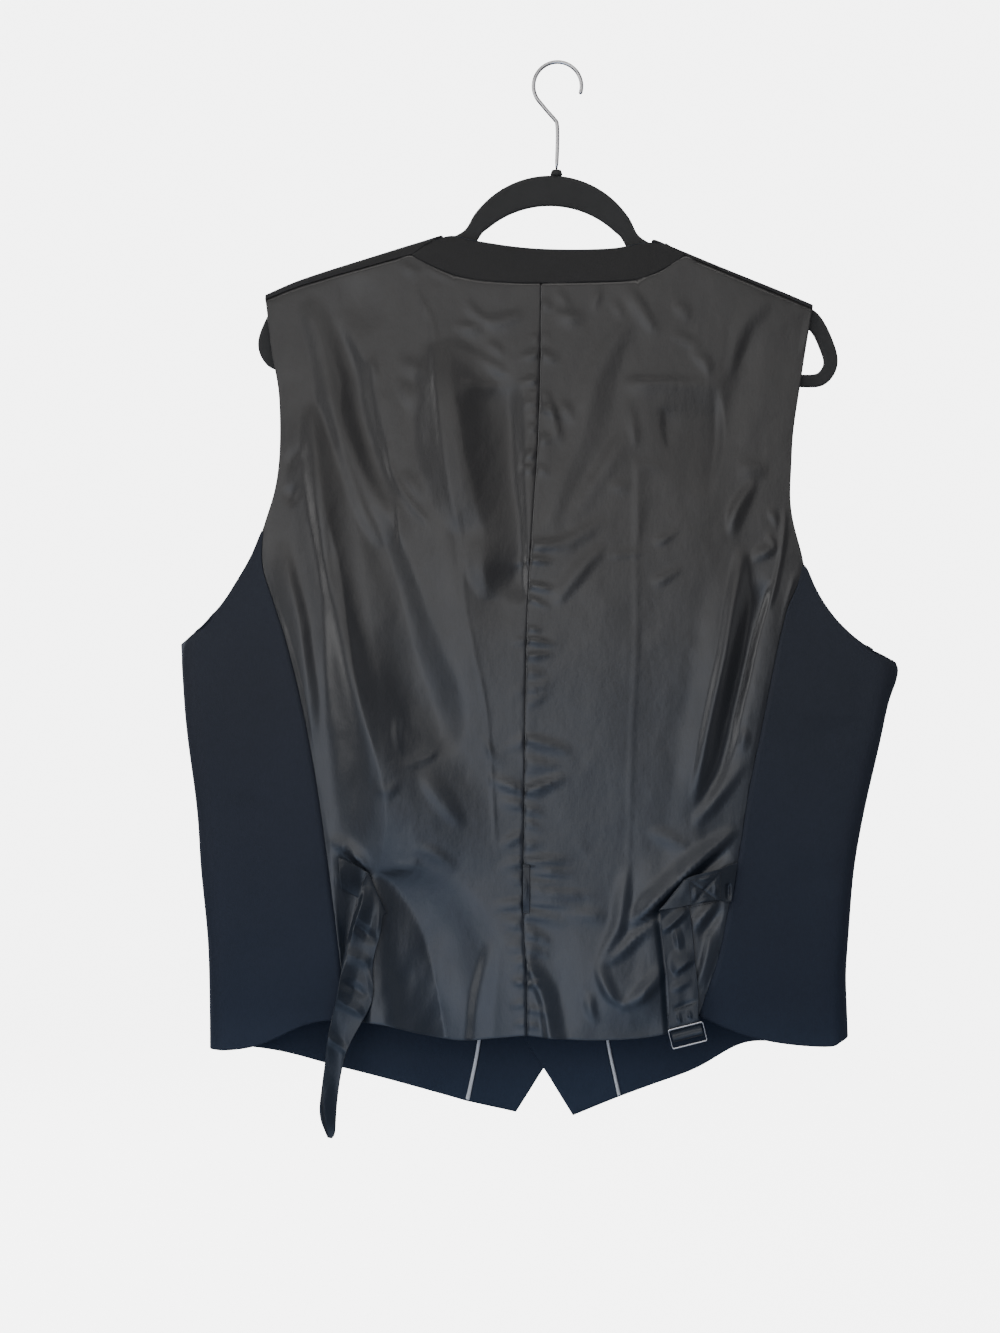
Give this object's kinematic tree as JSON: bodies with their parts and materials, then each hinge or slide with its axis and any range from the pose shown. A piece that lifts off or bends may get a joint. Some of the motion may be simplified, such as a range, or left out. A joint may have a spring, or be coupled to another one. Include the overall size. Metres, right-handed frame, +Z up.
{
  "type": "suit waistcoat on a flat hanger",
  "caption": "Men's suit waistcoat hanging on a flat hanger: wool fronts, satin back with an adjusting strap, open neck, armholes and hem.",
  "frame": {"origin": "the inner top of the hanger's hook, where a rail carries it", "axes": "+Z up, -Y out of the waistcoat's front, +X towards the wearer's left"},
  "size_m": [0.5474, 0.0648, 0.8216],
  "materials": {
    "wool": "matte navy wool",
    "satin": "glossy dark satin",
    "piping": "pale satin piping",
    "gunmetal": "dark polished metal",
    "horn": "dark horn-like plastic",
    "velvet": "black flock",
    "chrome": "polished wire"
  },
  "bodies": {
    "root": {"front_left": "wool", "front_right": "wool", "facing_left": "wool", "facing_right": "wool", "neck_band": "wool", "back_left": "satin", "back_right": "satin", "strap_left": "satin", "strap_right": "satin", "keeper_loop": "satin", "piping_left": "piping", "piping_right": "piping", "strap_slider": "gunmetal", "button_1": "horn", "button_2": "horn", "button_3": "horn", "button_4": "horn", "button_5": "horn", "hanger_body": "velvet", "hanger_collar": "velvet", "hanger_hook": "chrome"}
  },
  "joints": []
}
